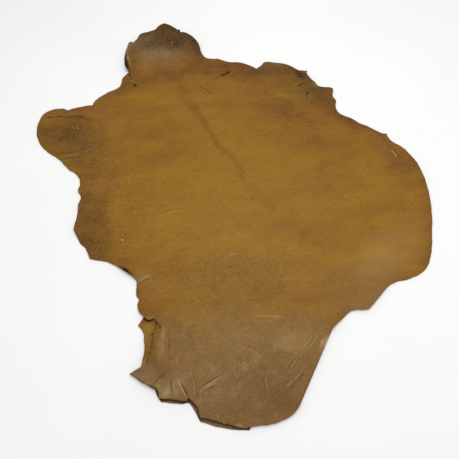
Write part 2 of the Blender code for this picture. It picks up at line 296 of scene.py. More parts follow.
# Soft creases: from one end to the other with a bow to its left, half width, swell beside it, depth of
# the line itself, and how dark and how pale its line is. Millimetres, and shares of 1. The dark is mostly
# painted shade in creases, slits, gaps and under lifted edges, with a few real scars and marks; the pale
# is mostly painted highlight on ridges, rims and the fold, with a few real pale scars.
Crease = namedtuple("Crease", "x0 y0 x1 y1 bow width lift depth dark pale", defaults=(0,))
CREASES = (
    # The neck's turned-down lip: painted shade in its margin, and a painted highlight along its edge.
    Crease(-330, 535, -331, 482, 2, 3.4, 0, 0, 0.9),  # the neck's left lip, turned down
    Crease(-331, 490, -327, 445, 1, 6, 0, 0, 1),
    Crease(-328, 456, -311, 400, -1, 6, 0, 0, 1),
    Crease(-317, 420, -303, 380, 0, 3.2, 0, 0.6, 1),
    Crease(-320, 478, -308, 428, -2, 1.4, 0.6, 0, 0, 0.45),
    Crease(-320, 457, -315, 448, 0, 2, 0, 0, 0, 0.9),
    Crease(-304, 372, -298, 366, 1, 2.2, 0.3, 0, 0, 0.7),
    Crease(-306, 363, -286, 353, 1, 2, 0.6, 1, 0.8),
    Crease(-293, 358, -282, 348, 0, 3.8, 0.4, 2, 1),
    Crease(-326, 330, -312, 371, 4, 1.6, 0.6, 0.4, 0.3),
    # Painted shade in the slit and pinch of the right shoulder.
    Crease(-34, 381, -12, 397, -1, 2.2, 0.4, 1, 0.6),  # slit in the right shoulder
    Crease(-14, 396, 21, 417, -3, 4.2, 0.8, 4, 1),
    Crease(-81, 360, -34, 315, -4, 1.4, 0.4, 0.6, 0.7),
    Crease(-78, 363, -31, 318, -4, 1.2, 0.2, 0, 0, 0.2),
    Crease(-52, 364, -36, 344, 2, 1.2, 0.2, 0.4, 0.35),
    Crease(-8, 438, 12, 436, 2, 3, 0.5, 1.2, 0.9),
    Crease(132, 421, 143, 417, 0, 2, 0.2, 0.5, 0.6),
    Crease(194, 424, 206, 418, 2, 1.8, 0.3, 0.7, 0.5),
    # Painted shade in the crumples of the right foreleg.
    Crease(238, 405, 262, 399, -2, 2.4, 0.6, 1.2, 0.85),  # crumples of the right foreleg
    Crease(262, 397, 261, 377, 3, 2.6, 0.6, 1.2, 0.9),
    Crease(261, 377, 248, 372, 1, 2.2, 0.4, 0.8, 0.75),
    Crease(236, 392, 250, 376, -2, 1.8, 0.4, 0.8, 0.6),
    Crease(234, 339, 246, 357, -3, 1.9, 0.5, 0.8, 0.75),
    Crease(246, 357, 257, 350, -2, 1.9, 0.5, 0.8, 0.65),
    Crease(240, 345, 252, 340, -2, 1.4, 0.3, 0.4, 0.4),
    Crease(270, 325, 263, 288, -4, 3.2, 0.8, 1.2, 0.85),
    Crease(275, 320, 273, 290, -6, 1.5, 0.4, 0, 0, 0.25),
    Crease(272, 268, 286, 288, 3, 2.8, 0.5, 0.8, 0.65),
    Crease(286, 289, 334, 269, 4, 1.6, 0.4, 0.6, 0.5),
    Crease(278, 358, 297, 339, 3, 3.6, 0.5, 0, 0, 0.2),
    Crease(272, 376, 280, 356, 2, 2, 0.3, 0.6, 0.5),
    Crease(238, 386, 256, 384, 3, 4, 0.4, 0.8, 0.6),
    Crease(268, 352, 262, 366, 1, 2.4, 0.4, 0.6, 0.45),
    Crease(292, 334, 342, 334, 1, 2.2, 0, 0, 0.45),
    Crease(281, 338, 288, 326, 0, 2.6, 0.4, 0.8, 0.5),
    Crease(206, 430, 240, 406, 5, 2.4, 0.8, 0.8, 0.35),
    Crease(352, 217, 366, 213, 1, 2, 0.2, 0.7, 0.65),  # right belly
    Crease(384, 194, 394, 187, 1, 2, 0.2, 0.6, 0.45),
    Crease(447, 151, 475, 109, 5, 1.6, 0.7, 0.7, 0.55),
    Crease(475, 109, 485, 76, 3, 1.6, 0.8, 1, 0.6),
    Crease(483, 80, 500, 49, 3, 1.1, 0.8, 0, 0, 1),
    Crease(487, 84, 503, 55, 3, 1.8, 0, 0.7, 0.65),
    Crease(499, 49, 515, 12, 3, 1.3, 0.4, 0.4, 0.35, 0.3),
    Crease(502, 59, 512, 55, 1, 2.2, 0.2, 0.6, 0.65),
    Crease(445, -2, 512, 2, -6, 1.2, 0.2, 0.4, 0.35),
    Crease(-556, 206, -453, 215, 3, 2.4, 0.6, 1.2, 0.85),  # left foreleg
    Crease(-453, 215, -402, 217, -1, 1.8, 0.5, 0.8, 0.6),
    Crease(-402, 217, -321, 249, -4, 1.4, 0.4, 0.4, 0.4),
    Crease(-321, 249, -302, 269, -1, 1.2, 0.3, 0.3, 0.3, 0.1),
    Crease(-410, 262, -404, 240, 1, 1.5, 0.3, 0.4, 0.3),
    Crease(-500, 68, -433, 72, 3, 1.5, 0.2, 0.3, 0.6),
    Crease(-468, 50, -395, 58, 2, 1.4, 0.2, 0.3, 0.5),
    Crease(-476, 60, -415, 66, 2, 1.2, 0.2, 0, 0, 0.3),
    Crease(-461, 177, -451, 165, 1, 1.2, 0.2, 0, 0, 0.5),
    Crease(-447, 171, -435, 163, 1, 1.2, 0.2, 0, 0, 0.5),
    # Painted shadow under the left belly's lifted edge.
    Crease(-258, -291, -221, -316, 0, 4, 0, 0, 1),  # left belly's lifted edge
    Crease(-207, -343, -177, -323, 4, 1.5, 0.8, 1, 0.65),
    Crease(-204, -335, -178, -316, 4, 5, 0, 0, 0, 0.3),
    Crease(-177, -323, -150, -300, -3, 1.3, 0.3, 0.3, 0.3, 0.1),
    Crease(-208, -372, -205, -345, -1, 1.8, 0.4, 0.7, 0.5),
    Crease(-187, -204, -184, -204, 0, 1.6, 0, 0.2, 0.8),  # a small mark
    # Painted shadow in the tear's gap.
    Crease(-161, -427, -144, -446, 0, 1.7, 0, 0, 1),  # dark line of the tear's inner half
    Crease(-147, -440, -142, -450, 0, 2.4, 0, 0.4, 1),  # the tear's end
    Crease(-153, -436, -159, -465, 1, 1.4, 0.5, 0.8, 0.65),  # pleat of the left hind
    Crease(-160, -462, -158, -466, 0, 2.8, 0, 0.8, 0.95),
    Crease(-159, -465, -160, -500, 1, 1.4, 0.5, 0.8, 0.6),
    Crease(-160, -500, -169, -530, 2, 1.4, 0.5, 0.8, 0.55),
    Crease(-135, -450, -136, -516, 1, 4.2, 1.4, 0, 0, 0.2),
    Crease(-125, -458, -119, -503, 1, 1.6, 0.3, 0.6, 0.45),
    Crease(-149, -574, -119, -546, 2, 1.6, 0.5, 0.5, 0.5),  # left hind's edge
    # Painted shadow along the left hind's lifted edge.
    Crease(-196, -558, -163, -574, 1, 1.8, 0, 0, 0.8),
    Crease(-163, -574, -138, -586, 1, 2.2, 0, 0, 0.95),
    Crease(-110, -562, -105, -597, -2, 2, 0.6, 0.7, 0.5),
    Crease(-104, -577, -92, -577, 0, 1.3, 0.2, 0.4, 0.55),
    Crease(-90, -566, -68, -601, -1, 1.6, 0.7, 0.8, 0.75),
    Crease(-95, -564, -74, -600, -1, 1.2, 0.3, 0, 0, 0.6),
    Crease(-66, -545, -50, -605, 2, 1.3, 0.4, 0.5, 0.55),
    Crease(-70, -543, -55, -590, 2, 1.1, 0.2, 0, 0, 0.4),
    Crease(-42, -584, 12, -551, 2, 0.9, 0.4, 0, 0, 0.75),
    Crease(-50, -583, 8, -552, 2, 1.1, 0.1, 0.6, 0.75),
    Crease(-48, -592, -12, -570, 2, 0.9, 0.3, 0, 0, 0.6),
    Crease(-44, -594, -10, -574, 2, 1, 0.1, 0.4, 0.5),
    Crease(12, -551, 40, -540, -2, 1.2, 0.2, 0.2, 0.3, 0.2),
    Crease(60, -420, 158, -425, 3, 1.3, 0.2, 0.1, 0, 0.3),  # over the folded shank
    Crease(40, -428, 120, -431, -3, 1.2, 0.2, 0.1, 0, 0.2),
    Crease(96, -557, 103, -584, -4, 1.4, 0.4, 0, 0, 0.3),
    Crease(94, -557, 99, -583, -4, 1.3, 0, 0.3, 0.4),
    Crease(121, -503, 171, -516, 4, 1.6, 0.4, 0.5, 0.28),
    Crease(152, -440, 178, -462, -3, 1.5, 0.3, 0.4, 0.35, 0.15),
    # Painted highlight on the fold's rim.
    Crease(228, -476, 220, -495, 0, 2, 0, 0, 0, 0.8),
    Crease(217, -464, 184, -502, 3, 1.2, 0.6, 0.3, 0, 0.4),
    Crease(211, -468, 178, -506, 3, 1.2, 0, 0.5, 0.35),
    Crease(205, -466, 170, -503, 3, 1, 0.2, 0.2, 0, 0.25),
    Crease(190, -495, 148, -544, -3, 1.2, 0.6, 0.3, 0, 0.4),
    Crease(184, -498, 144, -545, -3, 1.2, 0.1, 0.5, 0.4),
    Crease(172, -500, 136, -545, -2, 1, 0.2, 0.2, 0, 0.2),
    Crease(194, -528, 138, -588, 3, 1.3, 0.5, 0.7, 0.6),
    Crease(190, -526, 138, -580, 3, 1.1, 0.3, 0, 0, 0.35),
    Crease(186, -545, 145, -591, -2, 1.2, 0.3, 0.5, 0.5, 0.1),
    Crease(172, -540, 128, -585, -2, 1, 0.2, 0.3, 0.35, 0.1),
    Crease(51, -556, 30, -575, -3, 1.4, 0.2, 0.3, 0.4),
    Crease(30, -575, 26, -592, 2, 1.4, 0.2, 0.3, 0.35),
    Crease(64, -520, 88, -536, -4, 1.6, 0.2, 0.3, 0.35),
    Crease(-189, -143, -95, -118, 5, 1.1, 0.2, 0.3, 0.45),  # fine scars
    Crease(-160, -139, -110, -126, 4, 1.1, 0.1, 0, 0, 0.25),
    Crease(-243, -42, -221, -32, 1, 1.2, 0.1, 0.2, 0.5),
    Crease(-221, -32, -200, -22, 1, 1.1, 0.1, 0.1, 0.25),
    Crease(-7, -273, 38, -253, 3, 1.2, 0.2, 0.2, 0.1, 0.5),
)

# Patches of the dye, and of painted shade, sheen and highlight: middle, heading, half length and width,
# tint, strength, and how sharp its rim is. The grey sheen and highlight tints are painted sheen and
# highlight, and some dusk and brown patches are painted shade, as marked below; the rest is dye.
Patch = namedtuple("Patch", "x y heading length width tint amount rim", defaults=(1,))
PATCHES = (
    Patch(0, -40, 60, 330, 250, "golden", 0.8),  # the open back
    Patch(-151, -165, 20, 60, 35, "golden", 0.5),
    Patch(13, -225, 10, 70, 40, "golden", 0.5),
    Patch(154, -301, 0, 70, 30, "golden", 0.5),
    Patch(264, -335, 10, 50, 22, "golden", 0.3),
    Patch(340, -225, -15, 80, 30, "golden", 0.4),
    # Beside the pleat: painted light on its sloping strip and painted shade along its fold.
    Patch(-132, -484, 90, 38, 6, "golden", 0.6, 2),  # beside the pleat
    Patch(-147, -487, 88, 40, 6, "dusk", 0.25, 2),
    Patch(-495, 148, 0, 70, 56, "dusk", 0.5, 2),  # left foreleg
    Patch(-425, 135, -10, 60, 62, "dusk", 0.33, 2),
    Patch(-440, 62, -25, 60, 22, "brown", 0.5),
    Patch(-405, 100, -10, 50, 28, "olive", 0.5),
    Patch(-440, 203, -5, 50, 6, "dusk", 0.6),
    Patch(-360, 158, -55, 34, 14, "russet", 0.6),
    Patch(-480, 235, 3, 115, 14, "russet", 0.7, 2),
    Patch(-388, 203, 10, 60, 22, "russet", 0.4),
    Patch(-386, 90, -20, 50, 30, "brown", 0.5),
    Patch(-324, -30, -80, 60, 24, "russet", 0.4),
    Patch(-335, -119, -75, 50, 22, "brown", 0.3),
    Patch(-331, -250, -30, 60, 22, "brown", 0.4),
    Patch(-352, -178, -72, 130, 60, "dusk", 0.45, 3),  # left belly
    # The neck: painted shade on its far side and its left lip, painted sheen and highlight on its front
    # slope.
    Patch(-175, 592, -3, 160, 106, "dusk", 1.0, 3),  # far side of the neck
    Patch(-200, 640, 0, 70, 50, "dusk", 0.3, 2),
    Patch(-225, 540, 0, 130, 80, "sheen_grey", 0.5, 2),
    Patch(-245, 525, 0, 85, 50, "dusk", 0.35, 2),
    Patch(-290, 540, 60, 60, 30, "painted_highlight", 0.2),
    Patch(-305, 455, 80, 70, 26, "dusk", 0.3),
    Patch(-90, 470, 10, 80, 22, "brown", 0.5),
    Patch(-90, 490, 70, 60, 30, "dusk", 0.3),
    Patch(-200, 480, 0, 50, 20, "painted_highlight", 0.2),
    Patch(-200, 520, 0, 130, 110, "hair", 0.6, 3),
    Patch(-232, 485, 5, 112, 48, "sheen_grey", 0.75, 2),
    Patch(-290, 545, 40, 50, 34, "sheen_grey", 0.8),
    Patch(-305, 470, 90, 70, 22, "brown", 0.45),
    # The valley behind the neck: painted shade.
    Patch(-170, 402, 15, 135, 34, "brown", 0.75),  # valley behind the neck
    Patch(40, 402, 0, 140, 38, "brown", 0.8),
    Patch(-310, 345, 35, 80, 30, "brown", 0.5),
    Patch(-2, 448, -5, 95, 28, "dusk", 0.4),  # right shoulder, foreleg and belly
    Patch(160, 445, -8, 85, 28, "sheen_grey", 0.9, 2),
    Patch(137, 432, 0, 95, 40, "dusk", 0.4),
    Patch(130, 330, -5, 130, 55, "russet", 0.4),
    Patch(215, 225, -20, 150, 110, "brown", 0.45),
    Patch(275, 110, -30, 60, 45, "brown", 0.3),
    Patch(182, 304, 0, 16, 12, "pale", 0.22),
    Patch(245, 388, -35, 80, 52, "dusk", 0.3),
    Patch(272, 360, -45, 85, 55, "olive", 0.8),
    # Painted shade in the crumples.
    Patch(251, 396, -60, 24, 13, "dusk", 0.6, 2),
    Patch(285, 347, -40, 26, 7, "golden", 0.7),
    Patch(312, 305, -50, 65, 45, "dusk", 0.42),
    Patch(388, 202, -35, 85, 30, "dusk", 0.4),
    Patch(495, 55, -60, 75, 45, "brown", 0.6),
    Patch(-139, 346, -58, 45, 11, "brown", 0.4),  # the backbone
    Patch(-138, 302, -62, 65, 5, "brown", 0.45),
    Patch(-107, 270, -66, 50, 10, "brown", 0.45),
    Patch(-60, 180, -60, 65, 8, "brown", 0.6),
    Patch(-13, 95, -58, 60, 7, "brown", 0.5),
    Patch(35, 25, -58, 50, 8, "brown", 0.35),
    Patch(90, -60, -45, 120, 18, "brown", 0.2),
    Patch(-279, 156, 8, 105, 42, "brown", 0.35),  # the open sheet
    Patch(-196, 141, 10, 70, 30, "brown", 0.3),
    Patch(-136, 83, 15, 60, 28, "brown", 0.25),
    Patch(-375, 31, -10, 60, 30, "brown", 0.45),
    Patch(179, 243, -10, 60, 35, "brown", 0.45),
    Patch(212, -201, -22, 70, 24, "brown", 0.22),
    Patch(0, -320, 0, 190, 70, "brown", 0.28),
    Patch(69, -330, -5, 100, 35, "olive", 0.2),
    Patch(-390, 5, -70, 50, 25, "brown", 0.25),
    Patch(-210, 45, 5, 90, 40, "brown", 0.25),
    Patch(-13, 268, -20, 42, 26, "olive", 0.4),
    Patch(259, -15, 30, 65, 50, "olive", 0.35),
    Patch(350, -318, 18, 110, 45, "sheen_grey", 0.45, 2),
    Patch(435, -250, 60, 60, 30, "sheen_grey", 0.25),
    Patch(420, -250, 35, 130, 60, "pale", 0.22, 2),
    Patch(352, -385, 30, 50, 30, "painted_highlight", 0.14),
    Patch(310, -400, 25, 80, 24, "sheen_grey", 0.6),
    Patch(-320, -80, -82, 230, 130, "coarse", 0.9, 2),  # rougher grain
    Patch(30, -330, 0, 260, 90, "coarse", 0.6, 2),
    Patch(-60, -590, 0, 160, 60, "coarse", 0.7, 2),
    Patch(-460, 140, 0, 90, 90, "coarse", 0.9, 2),
    Patch(0, -392, -3, 95, 26, "olive", 0.4),  # over the folded shank
    Patch(96, -540, 20, 60, 30, "olive", 0.5),
    Patch(92, -597, 0, 75, 45, "brown", 0.8),
    Patch(50, -632, 0, 150, 30, "brown", 0.25, 2),
    Patch(34, -644, -8, 60, 12, "olive", 0.5),
    Patch(170, -476, -25, 50, 26, "pale", 0.22),
    Patch(145, -493, 0, 30, 14, "painted_highlight", 0.22),
    Patch(73, -525, 60, 14, 8, "painted_highlight", 0.25),
    Patch(26, -589, 60, 14, 8, "painted_highlight", 0.12),
    Patch(68, -621, 20, 20, 10, "painted_highlight", 0.12),
    Patch(60, -600, 5, 110, 30, "olive", 0.3),
    Patch(224, -486, 64, 18, 5, "painted_highlight", 1.0),
    Patch(20, -475, 0, 70, 28, "pale", 0.12),
    Patch(-10, -575, 0, 60, 40, "painted_highlight", 0.12),
    Patch(-165, -562, 20, 90, 60, "sheen_grey", 0.95, 3),
    Patch(-168, -555, -20, 44, 32, "painted_highlight", 0.22, 2),
    Patch(-168, -550, -30, 54, 42, "dusk", 0.4, 2),
    Patch(-122, -588, 60, 14, 8, "painted_highlight", 0.5),
    Patch(-112, -582, 0, 50, 24, "painted_highlight", 0.25),
    Patch(-100, -565, 40, 24, 12, "painted_highlight", 0.25),
    Patch(-140, -563, 42, 28, 6, "brown", 0.4),
    Patch(-172, -465, 85, 40, 12, "pale", 0.2, 2),
)
TINTS = ("golden", "brown", "russet", "olive", "dusk", "sheen_grey", "pale", "painted_highlight", "hair", "coarse")
# Their rims waver. Over the folded shank the leather is painted greyer and darker, as painted sheen and
# shade, and its grain is rougher.
WOBBLE, WOBBLE_PITCH, WOBBLE_SEEDS = 16 * MM, 1 / 0.07, (7.5, 8.5)
SHEEN_GREY_SHARE = 0.95
SHEEN_GREY_RAMP = 45 * MM
SHEEN_GREY_FOOT = -490 * MM  # full up to here from the hind end, and then fading
SHEEN_GREY_FADE = 125 * MM
SHEEN_GREY_COARSE = 0.5

# The mesh of the open sheet: spacing of its points, and how far from an edge or crease it is used.
Spacing = namedtuple("Spacing", "step near far")
SPACINGS = (
    Spacing(8.0, 19.0, math.inf),
    Spacing(4.6, 10.0, 19.0),
    Spacing(2.7, 4.0, 10.0),
    Spacing(1.5, 0.0, 4.0),
)
EDGE_HEAD = 4.0  # the cut edge counts as this much further away than a crease does
CLEAR_SHARE = 0.62  # no point is nearer to the cut edge than this share of its spacing

# The small hole in the left belly.
HOLE = Turn(-260, -214)
HOLE_RADIUS = 2.2 * MM
HOLE_SIDES = 14

# Unevenness: the cut edge wavers, some of it curls up, and the open sheet is never quite level.
FRAY_LARGE, FRAY_LARGE_PITCH, FRAY_LARGE_SEED = 1.1 * MM, 1 / 0.016, 1.5
FRAY_SMALL, FRAY_SMALL_PITCH, FRAY_SMALL_SEED = 0.5 * MM, 1 / 0.006, 2.5
CURL, CURL_REACH, CURL_PITCH, CURL_SEED = 5.0 * MM, 11 * MM, 1 / 0.11, 5.5
BUCKLE, BUCKLE_PITCH, BUCKLE_SEED = 1.6 * MM, 1 / 0.17, 3.5
RIPPLE, RIPPLE_PITCH, RIPPLE_SEED = 0.5 * MM, 1 / 0.05, 4.5
CALM_CORE, CALM_REACH = 6 * MM, 30 * MM  # none of it at the tear and the fold's ends

LAYER_LEAST = 2.4 * MM  # the upper layer's middle stays this far above the shank's
LAYER_LEAST_MARGIN = 6 * MM
LAYER_LEAST_RAMP = 20 * MM

# How creases are drawn: their reach in half widths, how they wander, break up and taper, and the swell.
CREASE_STEPS = 25
CREASE_REACH = 9.0
WANDER, WANDER_PITCH, CREASE_SEED = 0.8 * MM, 50.0, 5.5
BROKEN_PITCH, BROKEN_SEED = 75.0, 6.5
BROKEN_WIDTH = 0.5  # how much a line's width varies
BROKEN_LINE = 1.2  # and how much its strength does
CREASE_TAPER = 0.3
CREASE_END = 0.35
SWELL_WIDTH = 3.0

# The dark of the gaps under a cut edge: how far it reaches, and how strong it is on the edge itself.
SHADE_REACH = 3.8 * MM
SHADE_UNDER = 5 * MM  # the gap is as dark as at its mouth this far in, and then less
TEAR_SHADE_REACH = 5 * MM
RIM_SHADE = 0.5
SHADE_PAST = 30 * MM  # not on the bend itself

MARGIN_SHARE = 0.55  # the margins are browner
MARGIN_REACH = 26 * MM
MARGIN_SHEEN_GREYED = 0.7  # less so under the painted sheen
SHARP_ANGLE = 50  # edges of the mesh that bend more than this are drawn sharp

# The studio.
FLOOR_REACH = 6.0
FLOOR_DROP = 0.2 * MM
FLOOR_TONES = (0.96, 0.96, 0.955, 1), (0.98, 0.98, 0.975, 1)
OVERHEAD_PLACE, OVERHEAD_TARGET = (0.25, 0.15, 2.4), (0.1, 0.15, 0)
OVERHEAD_SIZE, OVERHEAD_POWER = (2.2, 1.3), 29.0
SKY_STRENGTH = 0.6
CAMERA_PLACE, CAMERA_TARGET = (0.0167, -0.7602, 1.0), (0.0167, -0.1828, 0)
CAMERA_VIEW = 55  # degrees


def place(turn):
    return Vector((turn.x, turn.y)) * MM


def line_frame(start, end):
    """Start, direction, left-hand normal and length of the line between two turns."""
    run = place(end) - place(start)
    along = run.normalized()
    return np.array(place(start)), np.array(along), np.array((-along.y, along.x)), run.length


def rounded(turns, step):
    """The line through the turns as points about one step apart, sharp only at corners."""
    places = [place(turn) for turn in turns]
    headings = []
    for i, turn in enumerate(turns):
        ends = places[max(i - 1, 0)], places[min(i + 1, len(places) - 1)]
        headings.append(None if turn.corner else (ends[1] - ends[0]).normalized())
    line = []
    for i, (start, end) in enumerate(zip(places, places[1:])):
        span = end - start
        reach = span.length / 3
        after = start + (headings[i] * reach if headings[i] else span / 3)
        before = end - (headings[i + 1] * reach if headings[i + 1] else span / 3)
        count = max(2, round(span.length / step) + 1)
        line += geometry.interpolate_bezier(start, after, before, end, count)[:-1]
    return [point.to_2d() for point in line] + [places[-1]]


def unfolded(points):
    """Where points of the tucked shank are in the flat pattern: mirrored across the bend."""
    start, _, out, _ = line_frame(FOLD_TOP, FOLD_FOOT)
    mirrored = []
    for point in points:
        depth = -Vector(point - Vector(start)).dot(Vector(out))
        mirrored.append(point + Vector(out) * (2 * depth + math.pi * FOLD_RADIUS))
    return mirrored


def bend_rows():
    """Rows of points along the bend in the flat pattern, from one side of it to the other."""
    _, _, out, length = line_frame(FOLD_TOP, FOLD_FOOT)
    top, foot = place(FOLD_TOP), place(FOLD_FOOT)
    count = round(length / EDGE_STEP)
    rows = []
    for k in range(BEND_ROWS + 1):
        turned = math.pi * k / BEND_ROWS
        shift = Vector(out) * FOLD_RADIUS * turned
        rows.append([top.lerp(foot, i / count) + shift for i in range(count + 1)])
    return rows


def away_from(points, line):
    """Each point's distance to the nearest stretch of a closed line."""
    start = np.array(line)
    run = np.roll(start, -1, axis=0) - start
    nearest = np.full(len(points), np.inf)
    for origin, step in zip(start, run):
        gap = points - origin
        share = np.clip(gap @ step / max(step @ step, MERGE**2), 0, 1)
        nearest = np.minimum(nearest, np.hypot(*(gap - share[:, None] * step).T))
    return nearest


def inside(points, line):
    """Whether each point lies within a closed line."""
    odd = np.zeros(len(points), bool)
    for (x0, y0), (x1, y1) in zip(line, line[1:] + line[:1]):
        if y0 == y1:
            continue
        level = (y0 > points[:, 1]) != (y1 > points[:, 1])
        odd ^= level & (points[:, 0] < x0 + (x1 - x0) * (points[:, 1] - y0) / (y1 - y0))
    return odd


def lattice(outline, step):
    """Points at even triangular spacing over the pattern's box."""
    low = np.min(np.array(outline), axis=0)
    high = np.max(np.array(outline), axis=0)
    climb = step * math.sqrt(3) / 2
    points = []
    for row in range(int((high[1] - low[1]) / climb) + 1):
        for x in np.arange(low[0] + step / 2 * (row % 2), high[0], step):
            points.append((x, low[1] + row * climb))
    return np.array(points)


def fall(distance, start, length):
    """1 up to start, 0 past start + length, and a soft step between."""
    t = np.clip((distance - start) / length, 0, 1)
    return 1 - t * t * (3 - 2 * t)


def own_axes(points, shape):
    """How far along and across a rise or a patch each point is, in its half sizes."""
    heading = math.radians(shape.heading)
    gap = points / MM - (shape.x, shape.y)
    along = gap @ (math.cos(heading), math.sin(heading)) / shape.length
    across = gap @ (-math.sin(heading), math.cos(heading)) / shape.width
    return along, across


def mound(points, rise):
    along, across = own_axes(points, rise)
    return rise.height * MM * np.exp(-(along**2) - across**2)


def neck_arch(points):
    """The neck's height above the surface, nothing on the hide's side of its valley."""
    start, side, up, width = line_frame(NECK_VALLEY_LEFT, NECK_VALLEY_RIGHT)
    climb = (points - start) @ up
    near = 1 - fall(climb, 0, NECK_RISE)
    far = NECK_TIP_SHARE + (1 - NECK_TIP_SHARE) * fall(climb, NECK_FALL, NECK_END - NECK_FALL)
    within = fall((points - start) @ side, width - NECK_SIDE_REACH, 2 * NECK_SIDE_REACH)
    lip = NECK_LIP_DROP * fall(points[:, 0] - NECK_LEFT_EDGE, 0, NECK_LIP_WIDTH)
    return NECK_HEIGHT * near * far * within * (1 - lip)


def from_shank(points, shank):
    """Each point's distance to the shank under the hide, 0 above it."""
    return np.where(inside(points, shank), 0, away_from(points, shank))


def by_fold(points):
    """1 at the fold, going down to 0 where its swell ends."""
    return fall(away_from(points, [place(FOLD_TOP), place(FOLD_FOOT)]), 0, FOLD_SWELL_REACH)


def stand_off(points, shank):
    """How far the upper layer is above where it would lie flat on the surface."""
    height = sum(mound(points, rise) for rise in RISES) + neck_arch(points)
    height += LAYER_PITCH * fall(from_shank(points, shank), COVER_MARGIN, COVER_RAMP)
    near = by_fold(points)
    return height * (1 - near) + 2 * FOLD_RADIUS * near


def above_tear():
    """The region on the upper lip's side of the tear, bounded by the tear's middle line."""
    lips = zip(TEAR_LOWER, reversed(TEAR_UPPER))
    middle = [(place(lower) + place(upper)) / 2 for lower, upper in lips]
    _, along, up, length = line_frame(TEAR_MOUTH, TEAR_END)
    left = middle[0] - Vector(along) * length
    right = place(TEAR_END) + Vector(along) * length
    over = Vector(up) * 2 * length
    return [left, *middle, place(TEAR_END), right, right + over, left + over]


def part_lips(points):
    """The torn flank's two sides: the lower slipped up the sheet, and the upper one's lift."""
    start, along, up, length = line_frame(TEAR_MOUTH, TEAR_END)
    share = (points - start) @ along / length
    near = fall(away_from(points, [place(TEAR_MOUTH), place(TEAR_END)]), 0, TEAR_REACH)
    upper = inside(points, above_tear())
    lift = LIP_LIFT * fall(share, 0, 1) * near * upper
    slip = LIP_OVERLAP * fall(share, 0, OVERLAP_SHARE) * near * ~upper
    return points + slip[:, None] * up, lift


def past_fold(points):
    """How far each point of the pattern lies past the fold line, and whether it is bent under."""
    start, along, out, length = line_frame(FOLD_TOP, FOLD_FOOT)
    past = (points - start) @ out
    down = (points - start) @ along
    beside = (down > length + MERGE) & (past < math.pi / 2 * FOLD_RADIUS)
    return past, (past > 0) & (down > -MERGE) & ~beside


def laid(points, shank):
    """Where the flat pattern's points lie in space, with the shank bent under the hide."""
    out = line_frame(FOLD_TOP, FOLD_FOOT)[2]
    past, tucked = past_fold(points)
    turned = np.clip(past / FOLD_RADIUS, 0, math.pi)
    reach = FOLD_RADIUS * np.sin(turned) - np.maximum(past - math.pi * FOLD_RADIUS, 0)
    under = points + (reach - past)[:, None] * out
    upper, lift = part_lips(points)
    flat = np.where(tucked[:, None], under, upper)
    height = np.where(tucked, FOLD_RADIUS * (1 + np.cos(turned)), stand_off(points, shank) + lift)
    return np.column_stack((flat, height + THICKNESS / 2))


def noise_at(points, pitch, seed):
    """Smooth noise, about -1 to 1, at each point of the sheet."""
    return np.array([noise.noise(Vector((x * pitch, y * pitch, seed))) for x, y in points])


def calm(points):
    """0 at the tear and at the fold's ends, where the solid's own shape is kept, and 1 away from them."""
    still = [[place(TEAR_MOUTH), place(TEAR_END)], [place(FOLD_TOP)], [place(FOLD_FOOT)]]
    away = np.min([away_from(points, line) for line in still], axis=0)
    return 1 - fall(away, CALM_CORE, CALM_REACH)


def frayed(line):
    """A cut edge with the small unevenness that a knife leaves."""
    places = np.array(line)
    run = np.gradient(places, axis=0)
    side = np.column_stack((-run[:, 1], run[:, 0])) / np.maximum(np.hypot(*run.T), MERGE)[:, None]
    wander = FRAY_LARGE * noise_at(places, FRAY_LARGE_PITCH, FRAY_LARGE_SEED)
    wander += FRAY_SMALL * noise_at(places, FRAY_SMALL_PITCH, FRAY_SMALL_SEED)
    return [Vector(point) for point in places + side * (wander * calm(places))[:, None]]


def crease_line(crease):
    """Points along a crease, its bow to the left of the way it runs."""
    start = np.array((crease.x0, crease.y0)) * MM
    run = np.array((crease.x1, crease.y1)) * MM - start
    left = np.array((-run[1], run[0])) / np.hypot(*run)
    share = np.linspace(0, 1, CREASE_STEPS)
    line = start + share[:, None] * run
    wander = WANDER * noise_at(line, WANDER_PITCH, CREASE_SEED)
    off = 4 * share * (1 - share) * crease.bow * MM + wander
    return line + off[:, None] * left


def crease_marks(points):
    """The height of the creases at each point, and how dark and how pale their lines are there: mostly
    painted shade and painted highlight, with a few real marks.
    """
    height, dark, pale = np.zeros((3, len(points)))
    for crease in CREASES:
        line = crease_line(crease)
        reach = CREASE_REACH * crease.width * MM
        near = ((points > line.min(0) - reach) & (points < line.max(0) + reach)).all(1)
        away = away_from(points[near], np.concatenate((line, line[-2:0:-1]))) / (crease.width * MM)
        broken = noise_at(points[near], BROKEN_PITCH, BROKEN_SEED)
        away = away / (1 + BROKEN_WIDTH * broken)
        broken = np.clip(1 + BROKEN_LINE * broken, 0, 1)
        run = line[-1] - line[0]
        share = (points[near] - line[0]) @ run / (run @ run)
        ends = np.clip(np.minimum(share, 1 - share) / CREASE_TAPER + CREASE_END, 0, 1)
        core = np.exp(-(away**2)) * ends
        swell = np.exp(-((away / SWELL_WIDTH) ** 2)) * ends
        height[near] += (crease.lift * swell - crease.depth * core) * MM
        dark[near] = np.maximum(dark[near], crease.dark * core * broken)
        pale[near] = np.maximum(pale[near], crease.pale * core * broken)
    return height, dark, pale


def tint_of(points, tint):
    """How strongly a tint's patches colour each point, from 0 to 1."""
    found = np.zeros(len(points))
    for patch in PATCHES:
        if patch.tint == tint:
            along, across = own_axes(points, patch)
            found += patch.amount * np.exp(-((along**2 + across**2) ** patch.rim))
    return np.clip(found, 0, 1)


